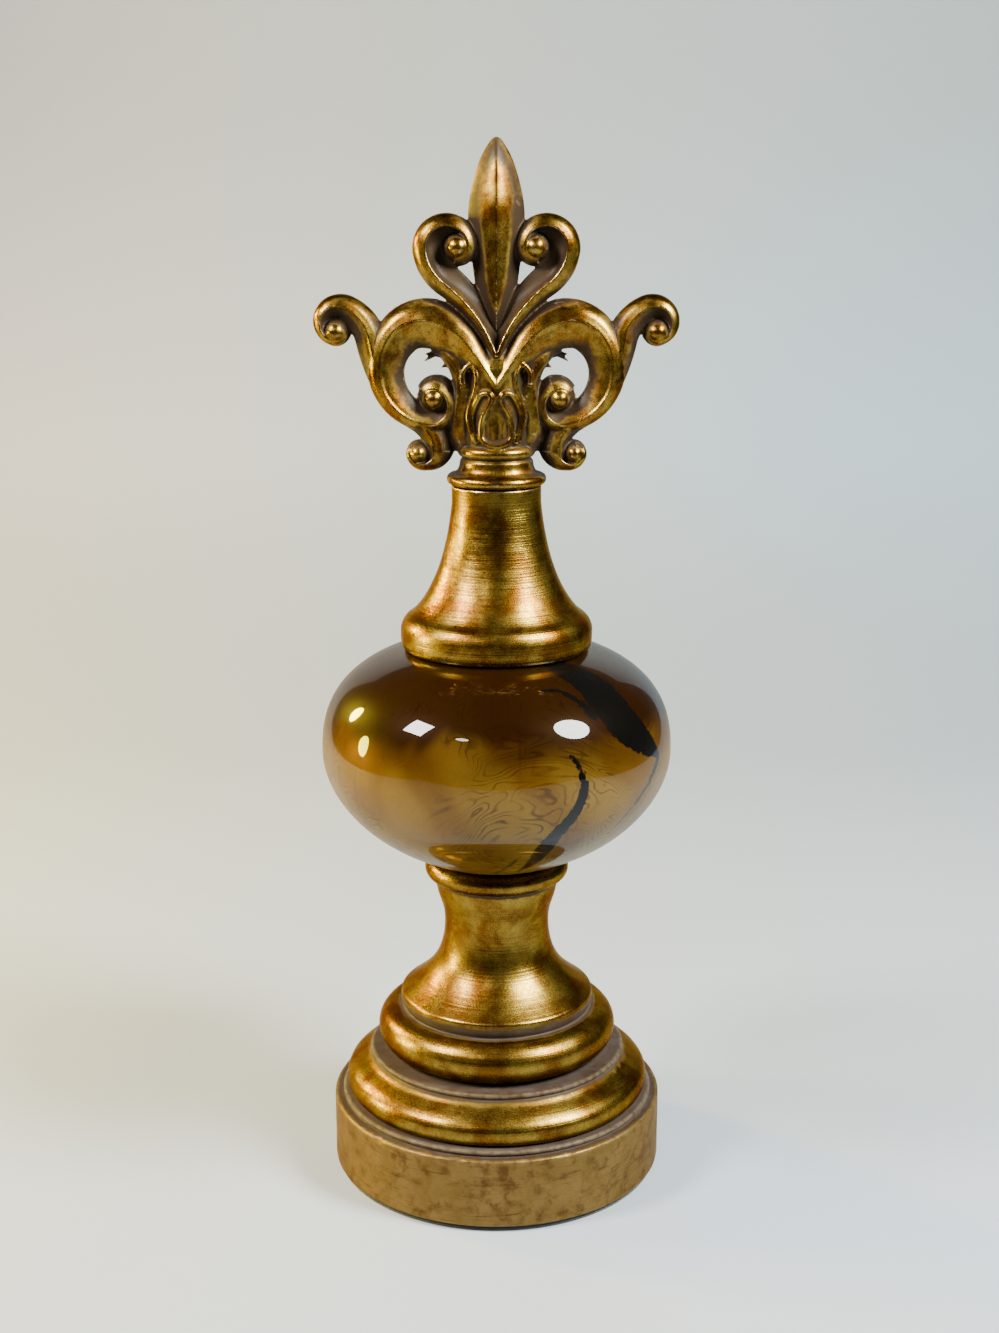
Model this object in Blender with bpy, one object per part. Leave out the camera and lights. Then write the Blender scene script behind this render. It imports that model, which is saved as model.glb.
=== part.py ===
# Tabletop finial: felt pad, turned pedestal, glazed ball, bell-shaped neck and a scroll crown.
# Metres, +Z up. The origin is the middle of the felt's underside, and the front faces -Y.
import math

import bmesh
import bpy
from mathutils import Matrix, Vector

# Gap between pieces that sit on each other
SEAT_GAP = 0.0003

# Facets of the turned pieces
TURNED_SIDES = 32

# Felt pad
FELT_RADIUS = 0.0568
FELT_THICKNESS = 0.0015

# Pedestal, from the drum upward: heights are those of each moulding
DRUM_RADIUS = 0.058
DRUM_HEIGHT = 0.0245
DRUM_EDGE_ROUND = 0.0008
STEP_RADIUS = 0.0551
STEP_HEIGHT = 0.002
CUSHION_RADIUS = 0.0534
CUSHION_SEAT_RADIUS = 0.0505
CUSHION_HEIGHT = 0.0135
CUSHION_WIDEST_RISE = 0.004
SHELF_RADIUS = 0.0447
SHELF_HEIGHT = 0.0019
TORUS_RADIUS = 0.042
TORUS_HEIGHT = 0.0148
COVE_RADIUS = 0.0322
SKIRT_LIP_RADIUS = 0.0338
SKIRT_LIP_RISE = 0.0056
SKIRT_HEIGHT = 0.0261
NECK_RADIUS = 0.0183
THROAT_HEIGHT = 0.0156
COLLAR_RADIUS = 0.0251
COLLAR_HEIGHT = 0.0076

# A curve between two levels has two pulls, each a share of the run across and of the rise
CUSHION_LOWER_PULLS = ((1.0, 0.1), (1.0, 0.6))
CUSHION_UPPER_PULLS = ((0.0, 0.62), (1.0, 0.7))
LIP_UNDERCUT = 0.2
SKIRT_PULLS = ((0.56, 0.24), (1.0, 0.43))
THROAT_PULLS = ((0.0, 0.45), (1.0, 0.55))

# Ball: a flattened sphere with a flat seat below and above
BALL_RADIUS = 0.06
BALL_LOWER_HALF = 0.0425
BALL_UPPER_HALF = 0.0383
BALL_FOOT_RADIUS = 0.0215
BALL_TOP_RADIUS = 0.0312
BALL_LOWER_POWER = 1.86
BALL_UPPER_POWER = 2.5

# Bell-shaped neck above the ball
BELL_RADIUS = 0.0325
BELL_RIM_HEIGHT = 0.0068
BELL_RIM_UNDERCUT = 0.0008
BELL_SHOULDER_RADIUS = 0.02865
BELL_SHOULDER = 0.0055
BELL_SHOULDER_PULLS = ((0.09, 0.5), (0.45, 0.8))
BELL_FLARE_HEIGHT = 0.0375
BELL_FLARE_PULLS = ((0.513, 0.18), (0.872, 0.52))
BELL_NECK_RADIUS = 0.015
BELL_NECK_HEIGHT = 0.0055

# Crown: beads and stem turned on the axis, then carved scrolls as shares of the crown's height
CROWN_HEIGHT = 0.1114
CROWN_BEAD_RADIUS = 0.0167
CROWN_BEAD_HEIGHT = 0.0038
CROWN_GROOVE_RADIUS = 0.0122
CROWN_COVE_HEIGHT = 0.0052
CROWN_COVE_STATIONS = ((0.4, 0.3), (0.7, 0.0))
STEM_BEAD_RADIUS = 0.013
STEM_BEAD_HEIGHT = 0.0042
STEM_RADIUS = 0.0113
STEM_HEIGHT = 0.034
STEM_SWELLS = ((0.3, 0.98), (0.55, 1.02), (0.75, 0.98), (0.92, 0.72))
STEM_SIDES = 18

# The crown's carving is laid out on a drawing whose crown is this many units high
DRAWING_HEIGHT = 111.4

# Each scroll is a ridge line of tangent arcs: a start point and a heading, then one row for each arc.
# A row is radius, turn (left is positive), and at its end the outer flank, inner flank and crest.
TOP_SCROLL = {
    "start": (0.0, 42.6),
    "heading": 107.4,
    "first": (2.4, 2.6, 10.5),
    "arcs": (
        (43.7, 22.6, 3.6, 4.6, 8.6),
        (51.7, 13.3, 4.4, 5.6, 7.2),
        (-15.0, -46.8, 4.4, 5.8, 6.6),
        (-7.0, -183.0, 3.4, 2.9, 6.6),
        (-3.7, -190.0, 1.6, 2.8, 4.6),
    ),
}
MAIN_SCROLL = {
    "start": (-0.2, 33.4),
    "heading": 122.9,
    "first": (3.0, 5.0, 12.4),
    "arcs": (
        (172.0, 5.3, 5.8, 7.2, 10.6),
        (21.3, 37.4, 7.0, 9.4, 8.4),
        (12.7, 64.2, 5.4, 9.2, 7.4),
        (18.0, 121.2, 3.0, 5.2, 7.0),
        (6.1, 161.0, 4.6, 2.8, 7.2),
        (3.4, 150.0, 2.2, 2.6, 5.0),
    ),
}
OUTER_SCROLL = {
    "start": (-26.0, 19.6),
    "heading": 140.0,
    "first": (2.0, 2.4, 4.4),
    "arcs": (
        (200.0, 1.0, 2.0, 2.8, 5.0),
        (-29.0, -27.8, 3.0, 3.8, 6.0),
        (-56.0, -14.8, 5.6, 4.8, 6.2),
        (15.3, 51.2, 4.0, 5.0, 6.2),
        (5.8, 192.0, 1.8, 2.4, 6.0),
        (3.1, 200.0, 1.2, 2.3, 4.4),
    ),
}
LOWER_SCROLL = {
    "start": (-32.4, 26.0),
    "heading": -40.2,
    "first": (2.0, 2.8, 4.6),
    "arcs": (
        (480.0, 1.3, 6.0, 3.2, 6.0),
        (-9.7, -51.8, 6.6, 3.4, 7.0),
        (-4.3, -72.0, 3.0, 2.6, 6.6),
        (-4.3, -72.9, 1.5, 2.6, 6.4),
        (-3.1, -140.0, 0.2, 2.4, 4.4),
    ),
}
SCROLLS = {"top": TOP_SCROLL, "main": MAIN_SCROLL, "outer": OUTER_SCROLL, "lower": LOWER_SCROLL}

# The eye of each scroll: its ball's radius and half depth, and the radius of the floor around it
EYES = {
    "top": (3.9, 7.6, 6.4),
    "main": (3.6, 7.8, 5.6),
    "outer": (3.5, 6.8, 4.9),
    "lower": (3.1, 7.0, 3.9),
}
EYE_FLOOR_DEPTH = 2.4
EYE_FLOOR_SIDES = 10

# Section of a scroll: where the outer flank's bend lies, and how deep that bend and the inner edge are
FLANK_REACH = 0.6
FLANK_DEPTH = 0.74
CAVITY_DEPTH = 0.45

# Facets of a scroll: the widest turn and the longest run from one station to the next
SCROLL_TURN = 40.0
SCROLL_RUN = 11.5

# Spear: heights on the drawing with the half width there; its depth is a share of that width
SPEAR_STATIONS = (
    (110.4, 1.9),
    (105.2, 5.0),
    (98.2, 7.4),
    (89.8, 9.1),
    (81.5, 9.0),
    (72.0, 7.2),
    (63.5, 5.6),
    (57.0, 3.2),
)
SPEAR_TIP = 111.4
SPEAR_FOOT = 49.0
SPEAR_DEPTH = 0.84
SPEAR_SIDES = 12

# Side leaf of the stem: across and up the drawing along its spine, with half width and half depth
LEAF_EDGE_DEPTH = 0.5
LEAF_SPINE = ((-9.4, 12.0, 4.6, 4.6), (-11.0, 20.0, 6.2, 5.0), (-9.8, 32.0, 4.6, 6.6),
              (-12.4, 39.0, 3.6, 5.8), (-16.8, 43.6, 2.8, 4.4), (-21.4, 43.8, 0.6, 2.4))

# Carved cords on the stem, left half of each, as places across and up the drawing
OUTER_CORD = ((-7.2, 15.2), (-9.2, 23.5), (-6.8, 32.0), (-6.4, 37.0), (-8.4, 40.0), (-10.9, 37.4),
              (-11.0, 33.6))
INNER_CORD = ((-6.3, 14.6), (-8.0, 22.6), (-5.8, 29.4), (-3.2, 31.0), (-1.7, 29.0), (-4.6, 22.6),
              (-4.6, 16.0), (0.0, 13.9))
CORD_RADIUS = 0.95
CORD_SIDES = 4
CORD_SINK = 0.25
CORD_LEAST_REACH = 0.45

# Colours of the finishes: colour, roughness and metallic value
FINISHES = {
    "felt": ((0.012, 0.012, 0.013, 1.0), 0.95, 0.0),
    "antique_gold": ((0.44, 0.29, 0.11, 1.0), 0.38, 0.85),
    "glazed_amber": ((0.30, 0.15, 0.035, 1.0), 0.08, 0.3),
}


def clear_scene():
    for item in list(bpy.data.objects):
        bpy.data.objects.remove(item, do_unlink=True)


def finish(name):
    colour, roughness, metallic = FINISHES[name]
    material = bpy.data.materials.new(name)
    material.use_nodes = True
    shader = material.node_tree.nodes["Principled BSDF"]
    shader.inputs["Base Color"].default_value = colour
    shader.inputs["Roughness"].default_value = roughness
    shader.inputs["Metallic"].default_value = metallic
    return material


def place(name, bm, material):
    bmesh.ops.remove_doubles(bm, verts=bm.verts, dist=0.000002)
    bmesh.ops.recalc_face_normals(bm, faces=bm.faces)
    mesh = bpy.data.meshes.new(name)
    bm.to_mesh(mesh)
    bm.free()
    mesh.shade_smooth()
    mesh.set_sharp_from_angle(angle=math.radians(40))
    item = bpy.data.objects.new(name, mesh)
    if material:
        mesh.materials.append(material)
    bpy.context.scene.collection.objects.link(item)
    return item


# Profiles are lists of (radius, height), from the axis below to the axis above

def round_arc(middle, radius, first_angle, last_angle, steps):
    points = []
    for step in range(steps + 1):
        angle = math.radians(first_angle + (last_angle - first_angle) * step / steps)
        points.append((middle[0] + radius * math.cos(angle), middle[1] + radius * math.sin(angle)))
    return points


def half_round(widest, bottom, height, steps=4, top_turn=86.0):
    radius = height / 2
    middle = (widest - radius, bottom + radius)
    return round_arc(middle, radius, -86.0, top_turn, steps)


def curve_between(start, end, pulls, steps):
    run = end[0] - start[0]
    rise = end[1] - start[1]
    pulled = [(start[0] + run * across, start[1] + rise * up) for across, up in pulls]
    corners = (start, pulled[0], pulled[1], end)
    points = []
    for step in range(steps + 1):
        share = step / steps
        rest = 1 - share
        weights = (rest ** 3, 3 * rest ** 2 * share, 3 * rest * share ** 2, share ** 3)
        points.append(tuple(sum(w * c[axis] for w, c in zip(weights, corners)) for axis in (0, 1)))
    return points


def turn(bm, profile, sides):
    verts = [bm.verts.new((radius, 0, height)) for radius, height in profile]
    edges = [bm.edges.new(pair) for pair in zip(verts, verts[1:])]
    bmesh.ops.spin(
        bm, geom=verts + edges, cent=(0, 0, 0), axis=(0, 0, 1),
        angle=2 * math.pi, steps=sides, use_merge=True,
    )


def turned_piece(name, profile, material):
    bm = bmesh.new()
    turn(bm, profile, TURNED_SIDES)
    return place(name, bm, material)


def felt_profile():
    return [(0, 0), (FELT_RADIUS, 0), (FELT_RADIUS, FELT_THICKNESS), (0, FELT_THICKNESS)]


def pedestal_profile(bottom):
    drum_top = bottom + DRUM_HEIGHT
    step_top = drum_top + STEP_HEIGHT
    widest = step_top + CUSHION_WIDEST_RISE
    shelf_bottom = step_top + CUSHION_HEIGHT
    shelf_top = shelf_bottom + SHELF_HEIGHT
    cove_bottom = shelf_top + TORUS_HEIGHT
    lip = cove_bottom + SKIRT_LIP_RISE
    neck = lip + SKIRT_HEIGHT
    collar = neck + THROAT_HEIGHT
    drum_inner = DRUM_RADIUS - DRUM_EDGE_ROUND
    collar_inner = COLLAR_RADIUS - COLLAR_HEIGHT / 2

    points = [(0, bottom)]
    points += round_arc((drum_inner, bottom + DRUM_EDGE_ROUND), DRUM_EDGE_ROUND, -90, 0, 1)
    points += round_arc((drum_inner, drum_top - DRUM_EDGE_ROUND), DRUM_EDGE_ROUND, 0, 90, 1)
    points += half_round(STEP_RADIUS, drum_top, STEP_HEIGHT, 2)
    seat = (CUSHION_SEAT_RADIUS, step_top)
    side = (CUSHION_RADIUS, widest)
    points += curve_between(seat, side, CUSHION_LOWER_PULLS, 2)
    points += curve_between(side, (SHELF_RADIUS, shelf_bottom), CUSHION_UPPER_PULLS, 4)[1:]
    points += [(SHELF_RADIUS, shelf_top)]
    points += half_round(TORUS_RADIUS, shelf_top, TORUS_HEIGHT, 5)
    points += [(COVE_RADIUS, cove_bottom), (COVE_RADIUS, cove_bottom + SKIRT_LIP_RISE * LIP_UNDERCUT)]
    points += curve_between((SKIRT_LIP_RADIUS, lip), (NECK_RADIUS, neck), SKIRT_PULLS, 6)
    points += curve_between((NECK_RADIUS, neck), (collar_inner, collar), THROAT_PULLS, 3)[1:]
    points += half_round(COLLAR_RADIUS, collar, COLLAR_HEIGHT, 4, 90.0)
    points += [(0, collar + COLLAR_HEIGHT)]
    return points


def ball_height(radius, half, power):
    return half * (1 - (radius / BALL_RADIUS) ** power) ** (1 / power)


def ball_profile(bottom):
    middle = bottom + ball_height(BALL_FOOT_RADIUS, BALL_LOWER_HALF, BALL_LOWER_POWER)
    first = -math.degrees(math.acos(BALL_FOOT_RADIUS / BALL_RADIUS))
    last = math.degrees(math.acos(BALL_TOP_RADIUS / BALL_RADIUS))
    points = [(0, bottom)]
    for share, height in round_arc((0, 0), 1.0, first, last, 10):
        radius = BALL_RADIUS * share
        if height < 0:
            points.append((radius, middle - ball_height(radius, BALL_LOWER_HALF, BALL_LOWER_POWER)))
        else:
            points.append((radius, middle + ball_height(radius, BALL_UPPER_HALF, BALL_UPPER_POWER)))
    points.append((0, points[-1][1]))
    return points


def bell_profile(bottom):
    rim = bottom + BELL_RIM_HEIGHT
    shoulder = rim + BELL_SHOULDER
    throat = shoulder + BELL_FLARE_HEIGHT
    top = throat + BELL_NECK_HEIGHT
    foot = BELL_RADIUS - BELL_RIM_UNDERCUT
    bend = (BELL_SHOULDER_RADIUS, shoulder)
    points = [(0, bottom), (foot, bottom), (BELL_RADIUS, bottom + BELL_RIM_HEIGHT / 2)]
    points += curve_between((BELL_RADIUS, rim), bend, BELL_SHOULDER_PULLS, 3)
    points += curve_between(bend, (BELL_NECK_RADIUS, throat), BELL_FLARE_PULLS, 7)[1:]
    points += [(BELL_NECK_RADIUS, top), (0, top)]
    return points


def stem_profile():
    bead_top = CROWN_BEAD_HEIGHT
    groove = bead_top + CROWN_COVE_HEIGHT
    stem_foot = groove + STEM_BEAD_HEIGHT
    cove_reach = CROWN_BEAD_RADIUS - CROWN_BEAD_HEIGHT / 2 - CROWN_GROOVE_RADIUS
    points = [(0, 0)]
    points += half_round(CROWN_BEAD_RADIUS, 0, CROWN_BEAD_HEIGHT, 3)
    for up, across in CROWN_COVE_STATIONS:
        points.append((CROWN_GROOVE_RADIUS + cove_reach * across, bead_top + CROWN_COVE_HEIGHT * up))
    points += half_round(STEM_BEAD_RADIUS, groove, STEM_BEAD_HEIGHT, 3)
    points += [(STEM_RADIUS, stem_foot)]
    points += [(STEM_RADIUS * across, stem_foot + STEM_HEIGHT * up) for up, across in STEM_SWELLS]
    points += [(0, stem_foot + STEM_HEIGHT)]
    return points


# Scrolls: stations along the ridge line, then a closed section at each station

def blend(first, last, share):
    return tuple(a + (b - a) * share for a, b in zip(first, last))


def scroll_stations(scroll):
    x, z = scroll["start"]
    heading = math.radians(scroll["heading"])
    widths = scroll["first"]
    stations = [(x, z, heading, widths)]
    eye = None
    for radius, turned, *end_widths in scroll["arcs"]:
        length = abs(radius * math.radians(turned))
        steps = max(math.ceil(abs(turned) / SCROLL_TURN), math.ceil(length / SCROLL_RUN))
        eye = (x - radius * math.sin(heading), z + radius * math.cos(heading))
        for step in range(1, steps + 1):
            angle = heading + math.radians(turned) * step / steps
            place_x = eye[0] + radius * math.sin(angle)
            place_z = eye[1] - radius * math.cos(angle)
            stations.append((place_x, place_z, angle, blend(widths, end_widths, step / steps)))
        x, z = stations[-1][0], stations[-1][1]
        heading += math.radians(turned)
        widths = tuple(end_widths)
    return stations, eye


def scroll_section(outer, inner, crest):
    front = [(outer * FLANK_REACH, -crest * FLANK_DEPTH), (0.0, -crest), (-inner, -crest * CAVITY_DEPTH)]
    back = [(across, -depth) for across, depth in reversed(front)]
    return [(outer, 0.0)] + front + back


def loft(bm, rings):
    for near, far in zip(rings, rings[1:]):
        count = len(near)
        for index in range(count):
            following = (index + 1) % count
            bm.faces.new((near[index], near[following], far[following], far[index]))
    bm.faces.new(rings[0])
    bm.faces.new(list(reversed(rings[-1])))


def scroll_piece(scroll, side, unit):
    bm = bmesh.new()
    stations, eye = scroll_stations(scroll)
    outer_side = 1.0 if scroll["arcs"][-1][1] < 0 else -1.0
    rings = []
    for x, z, heading, widths in stations:
        normal = (-math.sin(heading) * outer_side, math.cos(heading) * outer_side)
        ring = []
        for across, depth in scroll_section(*widths):
            point = Vector((side * (x + normal[0] * across), depth, z + normal[1] * across))
            ring.append(bm.verts.new(point * unit))
        rings.append(ring)
    loft(bm, rings)
    return bm, eye


def spear_piece(unit):
    bm = bmesh.new()
    rings = []
    for height, half in SPEAR_STATIONS:
        ring = []
        for index in range(SPEAR_SIDES):
            angle = 2 * math.pi * index / SPEAR_SIDES
            point = Vector((half * math.cos(angle), half * SPEAR_DEPTH * math.sin(angle), height))
            ring.append(bm.verts.new(point * unit))
        rings.append(ring)
    for near, far in zip(rings, rings[1:]):
        bmesh.ops.bridge_loops(bm, edges=ring_edges(bm, near) + ring_edges(bm, far))
    close_to_point(bm, rings[0], Vector((0, 0, SPEAR_TIP)) * unit)
    close_to_point(bm, rings[-1], Vector((0, 0, SPEAR_FOOT)) * unit)
    return bm


def ring_edges(bm, ring):
    edges = []
    for first, second in zip(ring, ring[1:] + ring[:1]):
        edge = bm.edges.get((first, second)) or bm.edges.new((first, second))
        edges.append(edge)
    return edges


def close_to_point(bm, ring, point):
    tip = bm.verts.new(point)
    for first, second in zip(ring, ring[1:] + ring[:1]):
        bm.faces.new((first, second, tip))


def along_depth(middle, radius, half_depth):
    stretch = Matrix.Diagonal((radius, half_depth, radius, 1))
    return Matrix.Translation(middle) @ stretch @ Matrix.Rotation(math.radians(90), 4, "X")


def eye_ball(middle, radius, half_depth):
    bm = bmesh.new()
    matrix = along_depth(middle, radius, half_depth)
    bmesh.ops.create_uvsphere(bm, u_segments=8, v_segments=5, radius=1.0, matrix=matrix)
    return bm


def eye_floor(middle, radius, half_depth):
    bm = bmesh.new()
    bmesh.ops.create_cone(
        bm, cap_ends=True, segments=EYE_FLOOR_SIDES, radius1=1.0, radius2=1.0, depth=2.0,
        matrix=along_depth(middle, radius, half_depth),
    )
    return bm


def leaf_piece(side, unit):
    bm = bmesh.new()
    rings = []
    for index, (x, z, half, thick) in enumerate(LEAF_SPINE):
        last = len(LEAF_SPINE) - 1
        before = LEAF_SPINE[max(index - 1, 0)]
        after = LEAF_SPINE[min(index + 1, last)]
        along = Vector((after[0] - before[0], 0, after[1] - before[1])).normalized()
        across = Vector((-along.z, 0, along.x))
        ring = []
        for share, depth in ((-1, 0), (0, -1), (1, -LEAF_EDGE_DEPTH), (1, LEAF_EDGE_DEPTH), (0, 1)):
            point = Vector((x, depth * thick, z)) + across * (share * half)
            point.x *= side
            ring.append(bm.verts.new(point * unit))
        rings.append(ring)
    loft(bm, rings)
    return bm


def cord_piece(route, face, unit):
    # A round cord carved on the stem; the route is mirrored about the crown's middle
    bm = bmesh.new()
    rings = []
    stem = STEM_RADIUS / unit
    points = []
    for x, z in route:
        reach = math.sqrt(max(stem ** 2 - x ** 2, (stem * CORD_LEAST_REACH) ** 2))
        points.append(Vector((x, face * (reach + CORD_RADIUS * CORD_SINK), z)))
    for index, point in enumerate(points):
        before = points[max(index - 1, 0)]
        after = points[min(index + 1, len(points) - 1)]
        along = (after - before).normalized()
        out = Vector((point.x, point.y, 0)).normalized()
        across = along.cross(out).normalized()
        out = across.cross(along)
        ring = []
        for corner in range(CORD_SIDES):
            angle = 2 * math.pi * corner / CORD_SIDES
            reach = across * math.cos(angle) + out * math.sin(angle)
            ring.append(bm.verts.new((point + reach * CORD_RADIUS) * unit))
        rings.append(ring)
    loft(bm, rings)
    return bm


def mirrored(route):
    return tuple((-x, z) for x, z in reversed(route))


def crown_pieces(unit):
    pieces = [("spear", spear_piece(unit))]
    for side, side_name in ((1, "left"), (-1, "right")):
        for name, scroll in SCROLLS.items():
            bm, eye = scroll_piece(scroll, side, unit)
            pieces.append((f"{name}_scroll_{side_name}", bm))
            ball, half_depth, floor = EYES[name]
            middle = Vector((side * eye[0], 0, eye[1])) * unit
            pieces.append((f"{name}_ball_{side_name}", eye_ball(middle, ball * unit, half_depth * unit)))
            floor_bm = eye_floor(middle, floor * unit, EYE_FLOOR_DEPTH * unit)
            pieces.append((f"{name}_floor_{side_name}", floor_bm))
        pieces.append((f"leaf_{side_name}", leaf_piece(side, unit)))
    for face, face_name in ((-1, "front"), (1, "back")):
        pieces.append((f"inner_cord_{face_name}", cord_piece(INNER_CORD + mirrored(INNER_CORD)[1:], face, unit)))
        pieces.append((f"outer_cord_left_{face_name}", cord_piece(OUTER_CORD, face, unit)))
        pieces.append((f"outer_cord_right_{face_name}", cord_piece(mirrored(OUTER_CORD), face, unit)))
    return pieces


def crown(bottom, material):
    unit = CROWN_HEIGHT / DRAWING_HEIGHT
    carved = bpy.data.collections.new("crown_carving")
    bpy.context.scene.collection.children.link(carved)
    for name, bm in crown_pieces(unit):
        item = place(name, bm, None)
        item.location.z = bottom
        item.hide_render = True
        item.display_type = "WIRE"
        bpy.context.scene.collection.objects.unlink(item)
        carved.objects.link(item)
    bm = bmesh.new()
    turn(bm, stem_profile(), STEM_SIDES)
    item = place("crown", bm, material)
    item.location.z = bottom
    union = item.modifiers.new("carving", "BOOLEAN")
    union.operation = "UNION"
    union.solver = "EXACT"
    union.operand_type = "COLLECTION"
    union.collection = carved
    union.use_self = True
    return item


def build():
    clear_scene()
    gold = finish("antique_gold")
    turned_piece("felt_pad", felt_profile(), finish("felt"))
    pedestal = pedestal_profile(FELT_THICKNESS + SEAT_GAP)
    turned_piece("pedestal", pedestal, gold)
    ball = ball_profile(pedestal[-1][1] + SEAT_GAP)
    turned_piece("ball", ball, finish("glazed_amber"))
    bell = bell_profile(ball[-1][1] + SEAT_GAP)
    turned_piece("bell", bell, gold)
    crown(bell[-1][1] + SEAT_GAP, gold)


build()
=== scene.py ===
import math

import bmesh
import bpy
import numpy as np
from mathutils import Matrix, Vector, noise
from mathutils.bvhtree import BVHTree


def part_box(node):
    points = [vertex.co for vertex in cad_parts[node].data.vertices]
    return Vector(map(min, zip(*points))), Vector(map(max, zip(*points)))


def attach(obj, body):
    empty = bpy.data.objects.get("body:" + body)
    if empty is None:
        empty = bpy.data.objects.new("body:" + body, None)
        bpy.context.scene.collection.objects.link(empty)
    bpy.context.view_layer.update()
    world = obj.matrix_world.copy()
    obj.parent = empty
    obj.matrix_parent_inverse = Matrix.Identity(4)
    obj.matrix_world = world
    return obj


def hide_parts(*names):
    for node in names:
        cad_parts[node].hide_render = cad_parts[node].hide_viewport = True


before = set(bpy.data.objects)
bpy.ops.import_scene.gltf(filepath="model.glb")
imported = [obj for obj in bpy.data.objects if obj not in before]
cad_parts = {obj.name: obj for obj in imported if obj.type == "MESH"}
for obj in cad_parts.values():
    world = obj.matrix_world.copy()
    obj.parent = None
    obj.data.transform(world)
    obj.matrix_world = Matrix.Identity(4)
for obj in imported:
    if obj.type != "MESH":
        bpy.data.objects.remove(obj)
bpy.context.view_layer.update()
mm = 0.001
perMetre = 1000.0       # turns a size in mm into the scale of a texture
print("frame loaded:", ", ".join(sorted(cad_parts)))


# Camera and light

camera = {
    "side": 1.0,            # mm to the right of the finial's axis
    "back": 627.7,          # mm in front of the axis
    "height": 339.8,
    "pitch": 14.2,          # degrees below level
    "lens": 51.3,
}

# Lights: place in m, width and height in m, watts; they face the finial's middle or the point they name
lightAim = (0, 0, 0.16)
lights = {
    "rightBox": {"place": (0.59, -0.31, 0.76), "size": (0.32, 0.38), "watts": 36.0,
                 "colour": (0.96, 1.0, 0.97), "shape": "ELLIPSE"},
    "leftBox": {"place": (-0.60, -0.28, 0.76), "size": (0.21, 0.23), "watts": 20.0,
                "colour": (1.0, 0.94, 0.93), "shape": "RECTANGLE"},
    "smallLamp": {"place": (-0.30, -0.62, 0.74), "size": (0.12, 0.05), "watts": 1.0,
                  "colour": (1.0, 0.93, 0.8), "shape": "ELLIPSE"},
    "warmLamp": {"place": (-0.85, 0.05, 0.22), "size": (0.13, 0.26), "watts": 10.0,
                 "colour": (1.0, 0.86, 0.05), "shape": "ELLIPSE"},
    "amberLamp": {"place": (-0.76, 0.38, 0.45), "size": (0.12, 0.22), "watts": 15.0,
                  "colour": (1.0, 0.74, 0.05), "shape": "ELLIPSE"},
    "wallGlow": {"place": (-0.95, 0.45, 0.25), "facing": (-0.8, 1.0, 0.1), "size": (0.2, 0.2), "watts": 1.6,
                 "colour": (1.0, 0.6, 0.3), "shape": "RECTANGLE"},
}

room = {
    "floorFront": 0.70,     # m from the axis to the table's front edge
    "wallBack": 1.0,
    "halfWidth": 0.72,      # narrow, so that the finial's edges mirror the dark beyond it
    "wallHeight": 0.85,
    "sweepRadius": 0.5,
    "paint": (0.31, 0.33, 0.355, 1.0),
    # the backdrop's glow is painted light: warm on the left, cool on the right, dimmer on the floor and at the top
    "warmGlow": (0.56, 0.44, 0.36, 1.0),
    "coolGlow": (0.14, 0.38, 0.54, 1.0),
    "glowAcross": (-0.4, 0.3),      # m from the warm side to the cool side
    "floorDim": (0.45, 0.45, 0.45, 1.0),
    "wallDim": (1.0, 1.0, 1.0, 1.0),
    "topDim": (0.36, 0.36, 0.36, 1.0),
    "darkness": (0.018, 0.016, 0.014, 1.0),
    "paleness": (0.56, 0.56, 0.55, 1.0),
}


def makeCamera():
    data = bpy.data.cameras.new("camera")
    data.lens = camera["lens"]
    item = placed("camera", data)
    item.location = (camera["side"] * mm, -camera["back"] * mm, camera["height"] * mm)
    item.rotation_euler = (math.radians(90 - camera["pitch"]), 0, 0)
    bpy.context.scene.camera = item


def makeLight(name):
    look = lights[name]
    away = Vector(look["place"]) - Vector(look.get("facing", lightAim))
    data = bpy.data.lights.new(name, "AREA")
    data.shape = look["shape"]
    data.size, data.size_y = look["size"]
    data.energy = look["watts"]
    data.color = look["colour"]
    item = placed(name, data)
    item.location = look["place"]
    item.rotation_euler = away.to_track_quat("Z", "Y").to_euler()


def makeWorld():
    # pale where the camera sees it, dark where the finial mirrors it
    world = bpy.data.worlds.new("studio")
    world.use_nodes = True
    tree = world.node_tree
    tree.nodes.clear()
    dark = addNode(tree, "ShaderNodeBackground", {"Color": room["darkness"]})
    pale = addNode(tree, "ShaderNodeBackground", {"Color": room["paleness"]})
    path = addNode(tree, "ShaderNodeLightPath")
    mix = addNode(tree, "ShaderNodeMixShader", {
        0: path.outputs["Is Camera Ray"], 1: dark.outputs[0], 2: pale.outputs[0]})
    addNode(tree, "ShaderNodeOutputWorld", {"Surface": mix.outputs[0]})
    bpy.context.scene.world = world


def makeRoom():
    # a pale table top that runs up into the wall behind it
    bm = bmesh.new()
    half = room["halfWidth"]
    front = [bm.verts.new((x, -room["floorFront"], 0)) for x in (-half, half)]
    edge = bm.edges.new(front)
    floor = bmesh.ops.extrude_edge_only(bm, edges=[edge])["geom"]
    bmesh.ops.translate(bm, vec=(0, room["floorFront"] + room["wallBack"], 0), verts=vertsOf(floor))
    corner = edgesOf(floor)
    wall = bmesh.ops.extrude_edge_only(bm, edges=[e for e in corner if isAcross(e, room["wallBack"])])["geom"]
    bmesh.ops.translate(bm, vec=(0, 0, room["wallHeight"]), verts=vertsOf(wall))
    fold = [e for e in bm.edges if isAcross(e, room["wallBack"]) and e.verts[0].co.z < 0.01]
    bmesh.ops.bevel(bm, geom=fold, offset=room["sweepRadius"], offset_type="OFFSET", affect="EDGES",
                    segments=24, profile=0.5, material=-1)
    item = finished("backdrop", bm, 1.0)
    item.data.materials.append(paintAndGlowMaterial())


def vertsOf(geom):
    return [part for part in geom if isinstance(part, bmesh.types.BMVert)]


def edgesOf(geom):
    return [part for part in geom if isinstance(part, bmesh.types.BMEdge)]


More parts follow.
